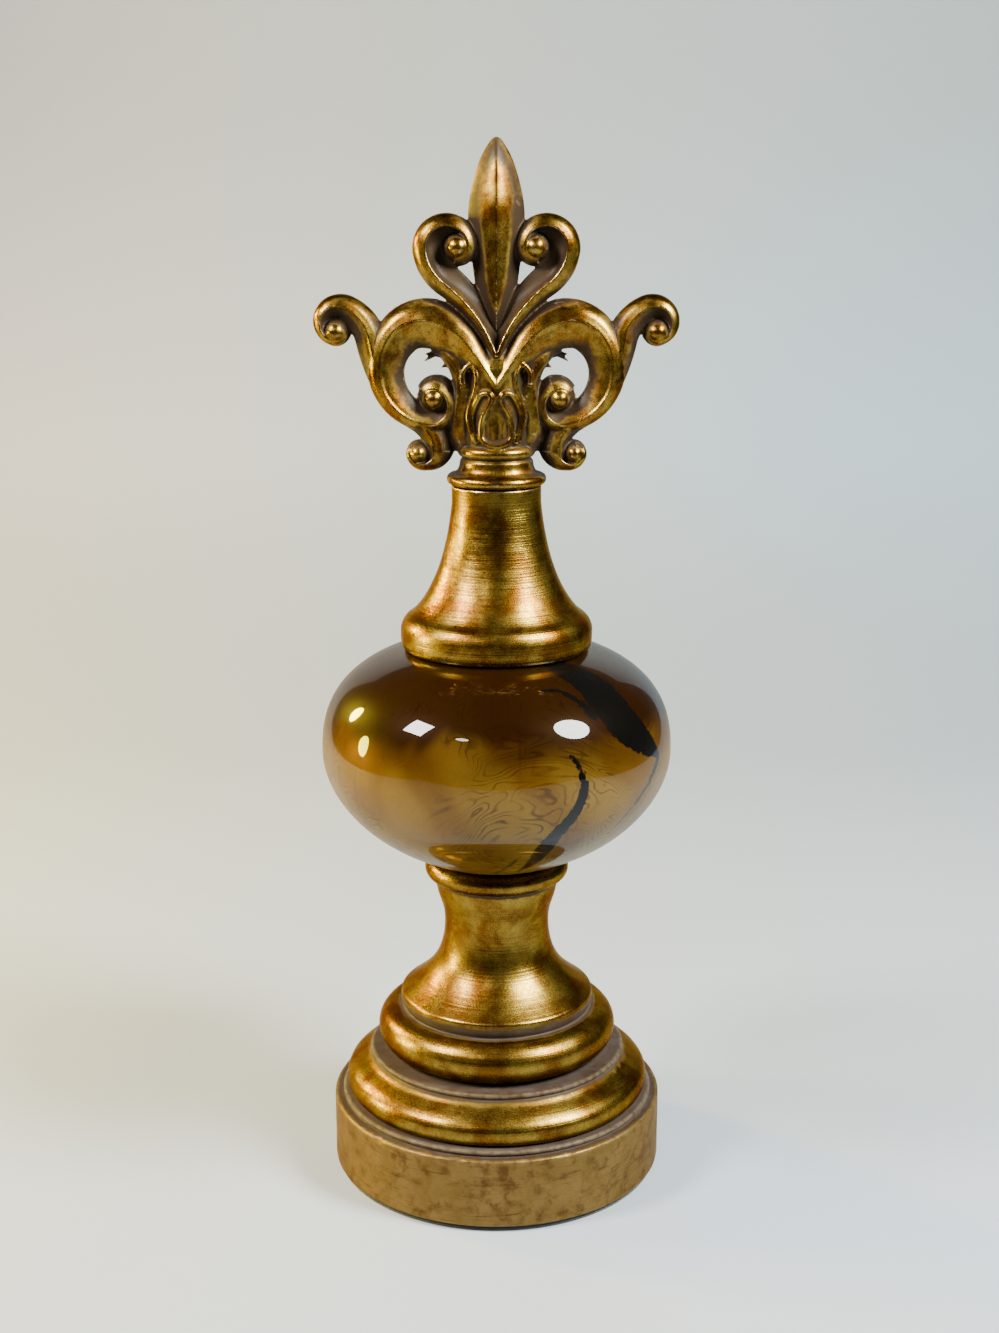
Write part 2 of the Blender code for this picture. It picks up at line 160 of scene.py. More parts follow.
def isAcross(edge, depth):
    return all(abs(vert.co.y - depth) < 0.001 for vert in edge.verts)


# Small helpers for meshes and nodes

def addNode(tree, kind, inputs=None, **settings):
    item = tree.nodes.new(kind)
    for key, value in settings.items():
        setattr(item, key, value)
    fill(tree, item.inputs, inputs or {})
    return item


def fill(tree, sockets, values):
    # links what comes from a node and types in what is plain
    for key, value in values.items():
        if isinstance(value, bpy.types.NodeSocket):
            tree.links.new(value, sockets[key])
        else:
            sockets[key].default_value = value


def placed(name, data):
    item = bpy.data.objects.new(name, data)
    bpy.context.scene.collection.objects.link(item)
    return item


def finished(name, bm, scale=mm):
    bmesh.ops.scale(bm, vec=(scale, scale, scale), verts=bm.verts)
    bmesh.ops.recalc_face_normals(bm, faces=bm.faces)
    mesh = bpy.data.meshes.new(name)
    bm.to_mesh(mesh)
    bm.free()
    mesh.shade_smooth()
    return placed(name, mesh)


def roundArc(middle, radius, firstAngle, lastAngle, steps):
    points = []
    for step in range(steps + 1):
        angle = math.radians(firstAngle + (lastAngle - firstAngle) * step / steps)
        points.append((middle[0] + radius * math.cos(angle), middle[1] + radius * math.sin(angle)))
    return points


def halfRound(widest, bottom, height, topTurn=86.0):
    return roundArc((widest - height / 2, bottom + height / 2), height / 2, -86.0, topTurn, 24)


def curveBetween(start, end, pulls, steps=24):
    run = end[0] - start[0]
    rise = end[1] - start[1]
    corners = [start] + [(start[0] + run * a, start[1] + rise * b) for a, b in pulls] + [end]
    points = []
    for step in range(steps + 1):
        share = step / steps
        rest = 1 - share
        weights = (rest ** 3, 3 * rest ** 2 * share, 3 * rest * share ** 2, share ** 3)
        points.append(tuple(sum(w * c[axis] for w, c in zip(weights, corners)) for axis in (0, 1)))
    return points


def smoothThrough(points, steps):
    # a smooth curve through every point, with numbers of any length
    path = [Vector(point) for point in points]
    path = [path[0] * 2 - path[1]] + path + [path[-1] * 2 - path[-2]]
    curve = []
    for a, b, c, d in zip(path, path[1:], path[2:], path[3:]):
        for step in range(steps):
            t = step / steps
            curve.append(0.5 * (2 * b + (c - a) * t + (2 * a - 5 * b + 4 * c - d) * t ** 2
                                + (3 * b - a - 3 * c + d) * t ** 3))
    curve.append(path[-2])
    return curve


def softened(profile, spacing, rounds):
    # evenly spaced points with their corners eased, as paint and casting leave them
    path = [Vector(point) for point in profile]
    lengths = [0.0]
    for a, b in zip(path, path[1:]):
        lengths.append(lengths[-1] + (b - a).length)
    count = max(2, round(lengths[-1] / spacing / (1)))
    even = []
    for index in range(count + 1):
        target = lengths[-1] * index / count
        span = next(i for i in range(1, len(path)) if lengths[i] >= target - 1e-9)
        width = max(lengths[span] - lengths[span - 1], 1e-9)
        even.append(path[span - 1].lerp(path[span], (target - lengths[span - 1]) / width))
    for _ in range(rounds):
        inner = [(a + b * 2 + c) / 4 for a, b, c in zip(even, even[1:], even[2:])]
        even = [even[0]] + inner + [even[-1]]
    return [tuple(point) for point in even]


def turned(profile, sides):
    bm = bmesh.new()
    verts = [bm.verts.new((radius, 0, height)) for radius, height in profile]
    edges = [bm.edges.new(pair) for pair in zip(verts, verts[1:])]
    bmesh.ops.spin(bm, geom=verts + edges, cent=(0, 0, 0), axis=(0, 0, 1),
                   angle=2 * math.pi, steps=sides, use_merge=True)
    bmesh.ops.remove_doubles(bm, verts=bm.verts, dist=0.001)
    bmesh.ops.recalc_face_normals(bm, faces=bm.faces)
    return bm


def handWork(bm, size, depth):
    # gentle waves in the surface, which only go inward so that the piece keeps its size
    bm.normal_update()
    for vert in bm.verts:
        wave = 0.5 + 0.5 * noise.noise(vert.co / size)
        vert.co -= vert.normal * wave * depth


def readRows(parts, key, width, kind=float):
    values = np.empty(len(parts) * width, kind)
    parts.foreach_get(key, values)
    return values.reshape(-1, width)


def fitInside(item, node):
    # draws the mesh in where it stands proud of the CAD node's box
    low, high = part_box(node)
    places = readRows(item.data.vertices, "co", 3, np.float32)
    for axis in (0, 1):
        limit = min(high[axis], -low[axis])
        places[:, axis] *= min(1.0, limit / np.abs(places[:, axis]).max())
    rise = min(1.0, (high.z - low.z) / (places[:, 2].max() - low.z))
    places[:, 2] = low.z + (places[:, 2] - low.z) * rise
    places[:, 2] = np.maximum(places[:, 2], low.z)
    item.data.vertices.foreach_set("co", places.ravel())
    item.data.update()


# Wear and painted-shade masks, kept on each mesh as attributes: ridge, crevice

# crevice darkening from sheltered places, hollows and low relief is painted shade as well as patina
wearAndShade = {
    "ridgeRounds": 3,
    "ridgeDepth": 0.43,     # bulge of a full ridge, over the square of the edge length
    "hollowRounds": 24,
    "hollowDepth": 2.2,
    "rays": 14, "rayStart": 0.2,
    "reach": 14.0,          # mm that a crevice ray looks
    "lowFrom": 6.5,         # mm in front of the crown's middle where low relief starts to darken
    "lowFade": 3.5,
    "turnedShade": 0.5, "carvedShade": 1.45,    # how much shelter darkens a turned or a carved piece
    "hollowShade": 0.6, "unmarkedBelow": 0.05,
}


def averaged(values, edges, rounds):
    count = np.bincount(edges.ravel(), minlength=len(values)).astype(float)
    values = values.astype(float)
    for _ in range(rounds):
        total = np.empty_like(values)
        for column in range(values.shape[1]):
            part = values[:, column]
            total[:, column] = (np.bincount(edges[:, 0], part[edges[:, 1]], len(part))
                                + np.bincount(edges[:, 1], part[edges[:, 0]], len(part)))
        values = (values + total) / (count + 1)[:, None]
    return values


def spreadDirections(count):
    directions = []
    for index in range(count):
        height = 1 - (2 * index + 1) / count
        level = math.sqrt(1 - height * height)
        angle = index * math.pi * (3 - math.sqrt(5))
        directions.append(Vector((level * math.cos(angle), level * math.sin(angle), height)))
    return directions


def addMask(mesh, name, values):
    layer = mesh.attributes.new(name, "FLOAT", "POINT")
    layer.data.foreach_set("value", np.clip(values, 0, 1).astype(np.float32))


def addWearAndShadeMasks(item, lowRelief=0.0, alongOnly=False, bands=()):
    # alongOnly keeps to the edges that run along a turned profile; bands are dusty heights in mm and how dusty
    mesh = item.data
    places = readRows(mesh.vertices, "co", 3) / mm
    normals = readRows(mesh.vertices, "normal", 3)
    edges = readRows(mesh.edges, "vertices", 2, np.int64)
    if alongOnly:
        first, second = places[edges[:, 0], :2], places[edges[:, 1], :2]
        turn = first[:, 0] * second[:, 1] - first[:, 1] * second[:, 0]
        edges = edges[turn ** 2 < 1e-4 * (first ** 2).sum(1) * (second ** 2).sum(1) + 1e-9]
    spacing = np.linalg.norm(places[edges[:, 0]] - places[edges[:, 1]], axis=1).mean()

    def bulge(rounds):
        return ((places - averaged(places, edges, rounds)) * normals).sum(1)

    ridge = bulge(wearAndShade["ridgeRounds"]) / (wearAndShade["ridgeDepth"] * spacing ** 2)
    hollow = -bulge(wearAndShade["hollowRounds"]) / (wearAndShade["hollowDepth"] * spacing ** 2)
    # rays find how sheltered each place is, which the crevice mask paints as shade
    tree = BVHTree.FromPolygons([v.co for v in mesh.vertices], [p.vertices for p in mesh.polygons])
    directions = spreadDirections(wearAndShade["rays"])
    blocked = np.zeros(len(places))
    for index, vert in enumerate(mesh.vertices):
        start = vert.co + vert.normal * (wearAndShade["rayStart"] * mm)
        for direction in directions:
            facing = direction.dot(vert.normal)
            towards = direction if facing > 0 else -direction
            if tree.ray_cast(start, towards, wearAndShade["reach"] * mm)[0] is not None:
                blocked[index] += abs(facing)
    blocked /= len(directions) * 0.5
    blocked = averaged(blocked[:, None], edges, 3)[:, 0]
    addMask(mesh, "ridge", ridge)
    shade = wearAndShade["turnedShade" if alongOnly else "carvedShade"]
    # low relief near the crown's middle is darkened too, partly patina and partly painted shade
    low = np.clip((wearAndShade["lowFrom"] - np.abs(places[:, 1])) / wearAndShade["lowFade"], 0, 1) * lowRelief
    low *= np.clip(np.abs(normals[:, 1]) * 1.6 - 0.3, 0, 1)
    crevice = blocked * shade + np.clip(hollow, 0, 1) * wearAndShade["hollowShade"] + low - wearAndShade["unmarkedBelow"]
    for bottom, top, amount in bands:
        inside = 1 - np.abs(places[:, 2] - (bottom + top) / 2) / (top - bottom) * 2
        crevice += amount * np.clip(inside * 2, 0, 1)
    addMask(mesh, "crevice", crevice)


# Shared effects as node groups

def newGroup(name, values, outputs):
    # every group takes the place on the piece, then its own values
    tree = bpy.data.node_groups.new(name, "ShaderNodeTree")
    tree.interface.new_socket("Place", in_out="INPUT", socket_type="NodeSocketVector")
    for socket, value in values.items():
        made = tree.interface.new_socket(socket, in_out="INPUT", socket_type="NodeSocketFloat")
        made.default_value = value
    for socket in outputs:
        tree.interface.new_socket(socket, in_out="OUTPUT", socket_type="NodeSocketFloat")
    return tree, tree.nodes.new("NodeGroupInput").outputs, tree.nodes.new("NodeGroupOutput").inputs


def useGroup(tree, group, inputs):
    return addNode(tree, "ShaderNodeGroup", inputs, node_tree=group).outputs


def objectPlace(tree):
    return addNode(tree, "ShaderNodeTexCoord").outputs["Object"]


def maskOf(tree, name):
    return addNode(tree, "ShaderNodeAttribute", attribute_name=name).outputs["Fac"]


def mathNode(tree, operation, a, b=0.0, clamp=False):
    return addNode(tree, "ShaderNodeMath", {0: a, 1: b}, operation=operation, use_clamp=clamp).outputs[0]


def times(tree, a, b, clamp=False):
    return mathNode(tree, "MULTIPLY", a, b, clamp)


def plus(tree, a, b, clamp=False):
    return mathNode(tree, "ADD", a, b, clamp)


def larger(tree, a, b):
    return mathNode(tree, "MAXIMUM", a, b)


def ramp(tree, value, low, high, bottom=0.0, top=1.0):
    inputs = {"Value": value, "From Min": low, "From Max": high, "To Min": bottom, "To Max": top}
    return addNode(tree, "ShaderNodeMapRange", inputs, interpolation_type="SMOOTHSTEP").outputs[0]


def mixColour(tree, share, first, second):
    return addNode(tree, "ShaderNodeMix", {0: share, 6: first, 7: second}, data_type="RGBA").outputs[2]


def noiseAt(tree, place, scale, detail=2.0, distortion=0.0, roughness=0.5):
    inputs = {"Vector": place, "Scale": scale, "Detail": detail, "Roughness": roughness, "Distortion": distortion}
    return addNode(tree, "ShaderNodeTexNoise", inputs).outputs[0]


def stretched(tree, place, scale):
    return addNode(tree, "ShaderNodeMapping", {"Vector": place, "Scale": scale}).outputs[0]


def makeGrain():
    # fine flakes of the paint and its broader clouds
    sizes = {"Flake Size": 0.45, "Cloud Size": 9.0}
    tree, given, out = newGroup("paintGrain", sizes, ("Flakes", "Clouds", "Blotches"))
    flakeScale = mathNode(tree, "DIVIDE", perMetre, given["Flake Size"])
    cloudScale = mathNode(tree, "DIVIDE", perMetre, given["Cloud Size"])
    flakes = noiseAt(tree, given["Place"], flakeScale, 2.0)
    clouds = noiseAt(tree, given["Place"], cloudScale, 5.0, 0.4, 0.62)
    blotches = noiseAt(tree, given["Place"], times(tree, cloudScale, 2.2), 4.0, 0.25, 0.62)
    fill(tree, out, {
        "Flakes": ramp(tree, flakes, 0.3, 0.7), "Clouds": ramp(tree, clouds, 0.32, 0.68),
        "Blotches": ramp(tree, blotches, 0.44, 0.74)})
    return tree


def makeStreaks():
    # fine lines round a turned piece, left by the brush
    tree, given, out = newGroup("brushStreaks", {"Line Width": 0.5}, ("Streaks", "Scuffs"))
    upScale = mathNode(tree, "DIVIDE", perMetre, given["Line Width"])
    thin = addNode(tree, "ShaderNodeCombineXYZ", {0: 14.0, 1: 14.0, 2: upScale}).outputs[0]
    fine = noiseAt(tree, stretched(tree, given["Place"], thin), 1.0, 3.0, 0.3)
    wide = addNode(tree, "ShaderNodeCombineXYZ", {0: 45.0, 1: 45.0, 2: times(tree, upScale, 0.3)}).outputs[0]
    broad = noiseAt(tree, stretched(tree, given["Place"], wide), 1.0, 4.0, 1.6)
    fill(tree, out, {"Streaks": ramp(tree, fine, 0.3, 0.7), "Scuffs": ramp(tree, broad, 0.56, 0.7)})
    return tree


def makeGrimeAndShade():
    # dark patina in the hollows together with painted shade where they are sheltered, pale dust over it, and
    # bright rubbed ridges
    masks = {"Crevice": 0.0, "Ridge": 0.0, "WashAndShade": 1.0, "Dust": 0.5, "Rub": 1.0}
    tree, given, out = newGroup("agedAndShadedHollows", masks, ("Dark", "Dusty", "Bright"))
    patches = noiseAt(tree, given["Place"], 180.0, 4.0, 0.5, 0.6)
    fine = noiseAt(tree, given["Place"], 900.0, 3.0)
    uneven = plus(tree, times(tree, patches, 0.5), times(tree, fine, 0.3))
    depth = plus(tree, given["Crevice"], mathNode(tree, "SUBTRACT", uneven, 0.4))
    dark = times(tree, ramp(tree, depth, 0.14, 0.6), given["WashAndShade"], True)
    drift = times(tree, given["Crevice"], ramp(tree, patches, 0.3, 0.7, 0.65, 1.0))
    dusty = times(tree, ramp(tree, drift, 0.28, 0.85), given["Dust"], True)
    worn = ramp(tree, noiseAt(tree, given["Place"], 420.0, 4.0), 0.38, 0.6, 0.15, 1.0)
    bright = times(tree, ramp(tree, given["Ridge"], 0.45, 1.1), worn)
    fill(tree, out, {"Dark": dark, "Dusty": dusty, "Bright": times(tree, bright, given["Rub"], True)})
    return tree


# Materials

paint = {
    "gold": (0.355, 0.240, 0.034, 1.0),
    "orange": (0.145, 0.054, 0.003, 1.0),
    "brown": (0.036, 0.0115, 0.0015, 1.0),
    # umber darkens the hollows: partly patina, partly painted shade
    "umber": (0.009, 0.004, 0.002, 1.0),
    "tan": (0.18, 0.115, 0.036, 1.0),
    "dust": (0.052, 0.039, 0.034, 1.0),
    "rubbed": (0.72, 0.54, 0.27, 1.0),
    "edge": (0.62, 0.42, 0.2, 1.0),
}

# Shares that all three castings have in common
finish = {
    "flakeMottle": 0.28, "flakeRough": 0.10, "flakeRelief": 0.17, "scuffs": 0.55, "streakRelief": 0.45,
    "coveredRough": 0.35, "bump": 0.6, "bumpDepth": 0.00014, "coat": 0.05, "coatRough": 0.25,
    "dullShare": 0.8, "dullBlotches": 0.8, "dullClouds": 0.55, "dullRough": 0.2, "dullMetal": 0.25,
    "dullEdge": 0.0008,     # m over which the matt part begins
}

# Paint of each casting; dullBelow is the height in m under which it is matt and scuffed
pedestalLook = {"clouds": 11.0, "orange": 0.85, "blotch": 0.45, "washAndShade": 0.95, "dust": 0.75, "rub": 0.06,
                "streaks": 0.6, "shine": 0.25, "deep": 0.38, "dullBelow": 0.0265}
bellLook = {"clouds": 14.0, "orange": 0.9, "blotch": 0.7, "washAndShade": 0.85, "dust": 0.4, "rub": 0.5,
            "streaks": 0.9, "shine": 0.25, "deep": 0.22, "dullBelow": 0.0}
crownLook = {"clouds": 8.0, "orange": 0.85, "blotch": 0.85, "washAndShade": 1.0, "dust": 0.05, "rub": 1.0,
             "streaks": 0.0, "shine": 0.25, "deep": 0.3, "dullBelow": 0.0}


def newMaterial(name):
    material = bpy.data.materials.new(name)
    material.use_nodes = True
    tree = material.node_tree
    return material, tree, tree.nodes["Principled BSDF"]


def goldMaterial(name, look):
    material, tree, shader = newMaterial(name)
    place = objectPlace(tree)
    grain = useGroup(tree, grainGroup, {"Place": place, "Cloud Size": look["clouds"]})
    lines = useGroup(tree, streakGroup, {"Place": place})
    agedAndShaded = useGroup(tree, grimeAndShadeGroup, {
        "Place": place, "Crevice": maskOf(tree, "crevice"), "Ridge": maskOf(tree, "ridge"),
        "WashAndShade": look["washAndShade"], "Dust": look["dust"], "Rub": look["rub"]})

    def browned(share, colour):
        return mixColour(tree, share, colour, paint["brown"])

    # mottled gold with brown blotches and brush scuffs
    mottle = times(tree, mathNode(tree, "SUBTRACT", 1.0, grain["Clouds"]), look["orange"])
    mottle = plus(tree, mottle, times(tree, grain["Flakes"], finish["flakeMottle"]), True)
    colour = mixColour(tree, mottle, paint["gold"], paint["orange"])
    colour = browned(look["deep"], colour)
    colour = browned(times(tree, grain["Blotches"], look["blotch"]), colour)
    colour = browned(times(tree, lines["Scuffs"], look["streaks"] * finish["scuffs"]), colour)

    # the matt part near the table
    height = addNode(tree, "ShaderNodeSeparateXYZ", {0: place}).outputs[2]
    dull = ramp(tree, height, look["dullBelow"] - finish["dullEdge"], look["dullBelow"], 1.0, 0.0)
    tan = browned(times(tree, grain["Blotches"], finish["dullBlotches"]), paint["tan"])
    tan = browned(times(tree, grain["Clouds"], finish["dullClouds"]), tan)
    tan = browned(times(tree, lines["Scuffs"], finish["scuffs"]), tan)
    colour = mixColour(tree, times(tree, dull, finish["dullShare"]), colour, tan)

    # dark patina with painted shade, dust and rubbed ridges over it all
    colour = mixColour(tree, agedAndShaded["Dark"], colour, paint["umber"])
    colour = mixColour(tree, agedAndShaded["Dusty"], colour, paint["dust"])
    colour = mixColour(tree, agedAndShaded["Bright"], colour, paint["rubbed"])
    covered = larger(tree, agedAndShaded["Dark"], agedAndShaded["Dusty"])
    covered = times(tree, covered, mathNode(tree, "SUBTRACT", 1.0, agedAndShaded["Bright"]))
    metal = ramp(tree, covered, 0.0, 1.0, 1.0, 0.0)
    metal = mathNode(tree, "SUBTRACT", metal, times(tree, dull, finish["dullMetal"]), True)
    rough = plus(tree, times(tree, grain["Flakes"], finish["flakeRough"]), look["shine"])
    rough = plus(tree, rough, times(tree, covered, finish["coveredRough"]))
    rough = plus(tree, rough, times(tree, dull, finish["dullRough"]))
    brushed = times(tree, lines["Streaks"], look["streaks"] * finish["streakRelief"])
    relief = plus(tree, times(tree, grain["Flakes"], finish["flakeRelief"]), brushed)
    bump = addNode(tree, "ShaderNodeBump", {
        "Strength": finish["bump"], "Distance": finish["bumpDepth"], "Height": relief})
    fill(tree, shader.inputs, {
        "Base Color": colour, "Metallic": metal, "Roughness": rough, "Normal": bump.outputs[0],
        "Specular Tint": paint["edge"], "Coat Weight": finish["coat"], "Coat Roughness": finish["coatRough"]})
    return material


glaze = {
    "amber": (0.10, 0.042, 0.003, 1.0),
    "honey": (0.185, 0.105, 0.013, 1.0),
    "brown": (0.007, 0.0018, 0.0003, 1.0),
    "vein": (0.014, 0.004, 0.0008, 1.0),
    "edge": (0.16, 0.08, 0.025, 1.0),
    "black": (0.002, 0.0018, 0.0015, 1.0),
    "darkFrom": 0.168,      # m above the table where the dark top begins
    "darkFade": (-0.012, 0.005),    # m below and above it over which it sets in
    "darkWave": 0.025,
    "honeyFade": (0.165, 0.15),
    "swirlScale": 16.0, "swirlLines": 170.0, "shimmerScale": 1500.0,
    "metal": (0.45, 0.05),      # bare glaze, then ink, veins and edges
    "coat": (0.9, 0.2),         # facing the eye, then at the edges
    "coatRough": 0.012, "coatIor": 1.33, "underShine": 0.06,
}


def glazeMaterial():
    material, tree, shader = newMaterial("glazedAmber")
    place = objectPlace(tree)
    height = addNode(tree, "ShaderNodeSeparateXYZ", {0: place}).outputs[2]
    swirl = noiseAt(tree, place, glaze["swirlScale"], 2.0, 2.6)
    folds = addNode(tree, "ShaderNodeTexWave", {
        "Vector": place, "Scale": 7.0, "Distortion": 14.0, "Detail": 3.0, "Detail Scale": 1.4,
        "Detail Roughness": 0.55}).outputs["Fac"]
    # thin veins along the swirl's contours, and slanting strands
    veins = ramp(tree, mathNode(tree, "SINE", times(tree, swirl, glaze["swirlLines"])), 0.35, 0.95)
    zones = ramp(tree, noiseAt(tree, place, 30.0, 3.0, 0.6), 0.41, 0.58)
    broken = ramp(tree, noiseAt(tree, place, 120.0, 3.0), 0.3, 0.55)
    veins = times(tree, times(tree, veins, zones), broken)
    slanted = addNode(tree, "ShaderNodeMapping", {
        "Vector": place, "Rotation": (0.2, 0.65, 0.0), "Scale": (360.0, 60.0, 26.0)}).outputs[0]
    strands = ramp(tree, noiseAt(tree, slanted, 1.0, 2.0, 0.9), 0.6, 0.72)
    strandZone = ramp(tree, noiseAt(tree, place, 19.0, 1.0, 0.4), 0.5, 0.62)
    veins = larger(tree, veins, times(tree, strands, strandZone))
    shimmer = noiseAt(tree, place, glaze["shimmerScale"], 2.0)
    folded = ramp(tree, folds, 0.1, 0.9, 0.0, 0.5)
    tone = plus(tree, folded, ramp(tree, height, *glaze["honeyFade"], 0.0, 0.35))
    colour = mixColour(tree, tone, glaze["amber"], glaze["honey"])
    colour = mixColour(tree, times(tree, shimmer, 0.35), colour, glaze["brown"])
    colour = mixColour(tree, times(tree, veins, 0.7), colour, glaze["vein"])
    # the dark top, partly darker glaze and partly painted shade, with a wavy edge, and the black ink
    wavy = plus(tree, height, times(tree, mathNode(tree, "SUBTRACT", swirl, 0.5), glaze["darkWave"]))
    below, above = glaze["darkFade"]
    top = ramp(tree, wavy, glaze["darkFrom"] + below, glaze["darkFrom"] + above, 0.0, 0.97)
    colour = mixColour(tree, top, colour, glaze["brown"])
    frayed = plus(tree, maskOf(tree, "ink"), times(tree, noiseAt(tree, place, 210.0, 4.0, 1.5), 0.3))
    black = ramp(tree, frayed, 0.63, 0.68)
    colour = mixColour(tree, black, colour, glaze["black"])
    covered = larger(tree, larger(tree, black, veins), top)
    facing = addNode(tree, "ShaderNodeLayerWeight", {"Blend": 0.5}).outputs["Facing"]
    covered = larger(tree, covered, ramp(tree, facing, 0.55, 0.85, 0.0, 0.8))
    fill(tree, shader.inputs, {
        "Base Color": colour, "Metallic": ramp(tree, covered, 0.0, 1.0, *glaze["metal"]),
        "Roughness": plus(tree, times(tree, shimmer, 0.15), 0.30), "Specular IOR Level": glaze["underShine"],
        "Specular Tint": glaze["edge"], "Coat Weight": ramp(tree, facing, 0.6, 0.88, *glaze["coat"]),
        "Coat Roughness": glaze["coatRough"], "Coat IOR": glaze["coatIor"]})
    return material


def feltMaterial():
    material, tree, shader = newMaterial("blackFelt")
    fibres = noiseAt(tree, stretched(tree, objectPlace(tree), (1.0, 1.0, 3.0)), felt["fibreScale"], 4.0, 1.5)
    colour = mixColour(tree, ramp(tree, fibres, 0.35, 0.75), felt["dark"], felt["light"])
    bump = addNode(tree, "ShaderNodeBump", {"Strength": 0.8, "Distance": 0.0002, "Height": fibres})
    fill(tree, shader.inputs, {
        "Base Color": colour, "Normal": bump.outputs[0], "Roughness": 0.95, "Sheen Weight": 0.3})
    return material


def paintAndGlowMaterial():
    material, tree, shader = newMaterial("palePaintAndGlow")
    # the paint also glows, as painted light: warm on the left and cool on the right, brightest where the wall
    # starts
    x, _, z = addNode(tree, "ShaderNodeSeparateXYZ", {0: objectPlace(tree)}).outputs
    glow = mixColour(tree, ramp(tree, x, *room["glowAcross"]), room["warmGlow"], room["coolGlow"])
    dim = mixColour(tree, ramp(tree, z, 0.01, 0.16), room["floorDim"], room["wallDim"])
    dim = mixColour(tree, ramp(tree, z, 0.1, 0.46), dim, room["topDim"])
    fill(tree, shader.inputs, {
        "Base Color": room["paint"], "Roughness": 0.7, "Emission Color": glow, "Emission Strength": dim})
    return material


# Felt pad

felt = {
    "edgeRound": 0.5, "sides": 160, "fibreScale": 2600.0,
    "dark": (0.006, 0.006, 0.007, 1.0), "light": (0.03, 0.03, 0.031, 1.0),
}


def makeFelt():
    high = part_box("felt_pad")[1]
    radius, thick = high.x / mm, high.z / mm
    edge = felt["edgeRound"]
    profile = [(0, 0), (radius * 0.5, 0)]
    profile += roundArc((radius - edge, edge), edge, -90, 0, 6)
    profile += roundArc((radius - edge, thick - edge), edge, 0, 90, 6)
    profile += [(radius * 0.5, thick), (0, thick)]
    bm = turned(profile, felt["sides"])
    ride(finished("feltPad", bm), "felt_pad", feltMaterial())


def ride(item, node, material):
    item.data.materials.append(material)
    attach(item, "root")
    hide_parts(node)


# Pedestal

pedestal = {
    "drumRadius": 58.0, "drumHeight": 24.5, "drumEdge": 0.8,
    "stepRadius": 55.1, "stepHeight": 2.0,
    "cushionRadius": 53.4, "cushionSeat": 50.5, "cushionHeight": 13.5, "cushionWidest": 4.0,
    "shelfRadius": 44.7, "shelfHeight": 1.9,
    "torusRadius": 42.0, "torusHeight": 14.8,
    "coveRadius": 32.2, "lipRadius": 33.8, "lipRise": 5.6, "skirtHeight": 26.1,
    "neckRadius": 18.3, "throatHeight": 15.6, "collarRadius": 25.1, "collarHeight": 7.6,
    "cushionLower": ((1.0, 0.1), (1.0, 0.6)), "cushionUpper": ((0.0, 0.62), (1.0, 0.7)),
    "skirtPulls": ((0.56, 0.24), (1.0, 0.43)), "throatPulls": ((0.0, 0.45), (1.0, 0.55)),
    "sides": 224, "spacing": 0.55, "waveSize": 9.0, "waveDepth": 0.12,
    "dustBands": ((25.6, 29.6, 0.7), (40.8, 44.8, 0.6), (58.2, 63.4, 0.55), (104.5, 107.5, 0.25)),
}

# Knocks on the drum's top edge: azimuth in degrees (right positive), height above the table, size and depth
drumKnocks = ((-13, 26.1, 2.0, 0.9), (-3, 26.4, 1.0, 0.5), (9, 26.3, 1.4, 0.6), (24, 26.2, 1.6, 0.8),
              (38, 26.0, 1.2, 0.6), (-27, 26.2, 1.5, 0.7), (-44, 25.8, 2.2, 0.9), (120, 26.0, 2.4, 1.0),
              (176, 26.1, 1.8, 0.8), (-120, 26.2, 1.5, 0.7), (47, 8.0, 1.3, 0.4))


def pedestalProfile(bottom):
    size = pedestal
    drumTop = bottom + size["drumHeight"]
    stepTop = drumTop + size["stepHeight"]
    widest = stepTop + size["cushionWidest"]
    shelfBottom = stepTop + size["cushionHeight"]
    shelfTop = shelfBottom + size["shelfHeight"]
    coveBottom = shelfTop + size["torusHeight"]
    lip = coveBottom + size["lipRise"]
    neck = lip + size["skirtHeight"]
    collar = neck + size["throatHeight"]
    edge = size["drumEdge"]
    collarInner = size["collarRadius"] - size["collarHeight"] / 2
    points = [(0, bottom)]
    points += roundArc((size["drumRadius"] - edge, bottom + edge), edge, -90, 0, 5)
    points += roundArc((size["drumRadius"] - edge, drumTop - edge), edge, 0, 90, 5)
    points += halfRound(size["stepRadius"], drumTop, size["stepHeight"])
    bulge = (size["cushionRadius"], widest)
    points += curveBetween((size["cushionSeat"], stepTop), bulge, size["cushionLower"])
    points += curveBetween(bulge, (size["shelfRadius"], shelfBottom), size["cushionUpper"])[1:]
    points += halfRound(size["shelfRadius"] + 0.3, shelfBottom, size["shelfHeight"])
    points += halfRound(size["torusRadius"], shelfTop, size["torusHeight"])
    start = (size["coveRadius"] + 0.6, coveBottom + 0.3)
    points += curveBetween(start, (size["lipRadius"], lip - 1.0), ((1.4, 0.3), (1.2, 0.8)))
    points += roundArc((size["lipRadius"] - 0.6, lip - 0.4), 0.6, -30, 60, 5)
    points += curveBetween((size["lipRadius"] - 0.5, lip + 0.2), (size["neckRadius"], neck), size["skirtPulls"])
    points += curveBetween((size["neckRadius"], neck), (collarInner, collar), size["throatPulls"])[1:]
    points += halfRound(size["collarRadius"], collar, size["collarHeight"], 90.0)
    points += [(0, collar + size["collarHeight"])]
    return points


def knock(bm, azimuth, height, radius, size, depth):
    angle = math.radians(azimuth)
    middle = Vector((radius * math.sin(angle), -radius * math.cos(angle), height))
    inward = Vector((-math.sin(angle), math.cos(angle), -0.6)).normalized()
    for vert in bm.verts:
        away = (vert.co - middle).length / size
        if away < 1:
            vert.co += inward * depth * (1 - away * away) ** 2


